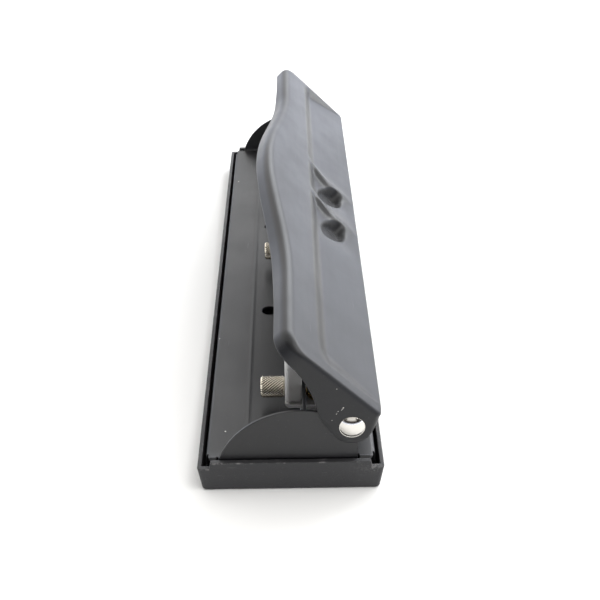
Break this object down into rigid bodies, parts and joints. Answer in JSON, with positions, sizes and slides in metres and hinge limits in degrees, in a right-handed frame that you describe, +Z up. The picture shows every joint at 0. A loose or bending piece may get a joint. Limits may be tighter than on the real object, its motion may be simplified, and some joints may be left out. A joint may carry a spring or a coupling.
{
  "type": "adjustable three-hole paper punch",
  "caption": "Black desk paper punch with a full-length hinged lever, sliding punch heads locked by knurled thumb screws, spring-returned pins and a chip tray.",
  "frame": {"origin": "centre of the tray's underside", "axes": "+X along the punch, +Y towards the hinge side, +Z up"},
  "size_m": [0.2892, 0.0686, 0.074],
  "materials": {
    "tray_plastic": "moulded charcoal black plastic with a fine grain, dusty and worn grey at the rim",
    "black_paint": "satin black paint on pressed steel with a few chips",
    "base_paint": "satin black paint on flat sheet steel, lightly scuffed",
    "head_steel": "dull grey plated sheet steel with sheared edges",
    "nickel": "bright warm nickel plate, knurled on the thumb screws and polished on the rivets",
    "tool_steel": "ground hardened steel",
    "spring_steel": "drawn spring wire with a thin film of oil",
    "brass": "turned brass",
    "zinc_steel": "zinc plated steel"
  },
  "bodies": {
    "tray": {"tray": "tray_plastic"},
    "base": {"base_plate": "base_paint", "guide_rail": "base_paint"},
    "handle": {"handle": "black_paint", "pressure_bar": "black_paint", "hinge_rivet_left": "nickel", "hinge_rivet_right": "nickel", "rivet_washer_left": "zinc_steel", "rivet_washer_right": "zinc_steel"},
    "head_left": {"head_left": "head_steel", "guide_bush_left": "brass", "screw_nut_left": "zinc_steel", "return_spring_left": "spring_steel"},
    "screw_left": {"thumb_screw_left": "nickel"},
    "pin_left": {"punch_pin_left": "tool_steel", "spring_clip_left": "spring_steel"},
    "head_middle": {"head_middle": "head_steel", "guide_bush_middle": "brass", "screw_nut_middle": "zinc_steel", "return_spring_middle": "spring_steel"},
    "screw_middle": {"thumb_screw_middle": "nickel"},
    "pin_middle": {"punch_pin_middle": "tool_steel", "spring_clip_middle": "spring_steel"},
    "head_right": {"head_right": "head_steel", "guide_bush_right": "brass", "screw_nut_right": "zinc_steel", "return_spring_right": "spring_steel"},
    "screw_right": {"thumb_screw_right": "nickel"},
    "pin_right": {"punch_pin_right": "tool_steel", "spring_clip_right": "spring_steel"}
  },
  "joints": [
    {"name": "base_lift", "type": "slide", "parent": "tray", "child": "base", "axis": [0, 0, 1], "range_m": [0, 0.04]},
    {"name": "handle_press", "type": "hinge", "parent": "base", "child": "handle", "pos_m": [0, 0.022, 0.029], "axis": [1, 0, 0], "range_deg": [0, 26]},
    {"name": "slide_left", "type": "slide", "parent": "base", "child": "head_left", "axis": [1, 0, 0], "range_m": [-0.006, 0.068]},
    {"name": "turn_left", "type": "hinge", "parent": "head_left", "child": "screw_left", "pos_m": [-0.108, -0.005, 0.0209], "axis": [0, -1, 0], "range_deg": [0, 360]},
    {"name": "punch_left", "type": "slide", "parent": "head_left", "child": "pin_left", "axis": [0, 0, -1], "range_m": [0, 0.0048], "stiffness_N_per_m": 600, "springref_m": -0.008, "deforming": ["return_spring_left"]},
    {"name": "slide_middle", "type": "slide", "parent": "base", "child": "head_middle", "axis": [1, 0, 0], "range_m": [-0.015, 0.015]},
    {"name": "turn_middle", "type": "hinge", "parent": "head_middle", "child": "screw_middle", "pos_m": [0, -0.005, 0.0209], "axis": [0, -1, 0], "range_deg": [0, 360]},
    {"name": "punch_middle", "type": "slide", "parent": "head_middle", "child": "pin_middle", "axis": [0, 0, -1], "range_m": [0, 0.0048], "stiffness_N_per_m": 600, "springref_m": -0.008, "deforming": ["return_spring_middle"]},
    {"name": "slide_right", "type": "slide", "parent": "base", "child": "head_right", "axis": [1, 0, 0], "range_m": [-0.068, 0.006]},
    {"name": "turn_right", "type": "hinge", "parent": "head_right", "child": "screw_right", "pos_m": [0.108, -0.005, 0.0209], "axis": [0, -1, 0], "range_deg": [0, 360]},
    {"name": "punch_right", "type": "slide", "parent": "head_right", "child": "pin_right", "axis": [0, 0, -1], "range_m": [0, 0.0048], "stiffness_N_per_m": 600, "springref_m": -0.008, "deforming": ["return_spring_right"]}
  ],
  "couplings": [
    {"joint": "punch_left", "follows": "handle_press", "m_per_rad": 0.01051},
    {"joint": "punch_middle", "follows": "handle_press", "m_per_rad": 0.01051},
    {"joint": "punch_right", "follows": "handle_press", "m_per_rad": 0.01051}
  ]
}
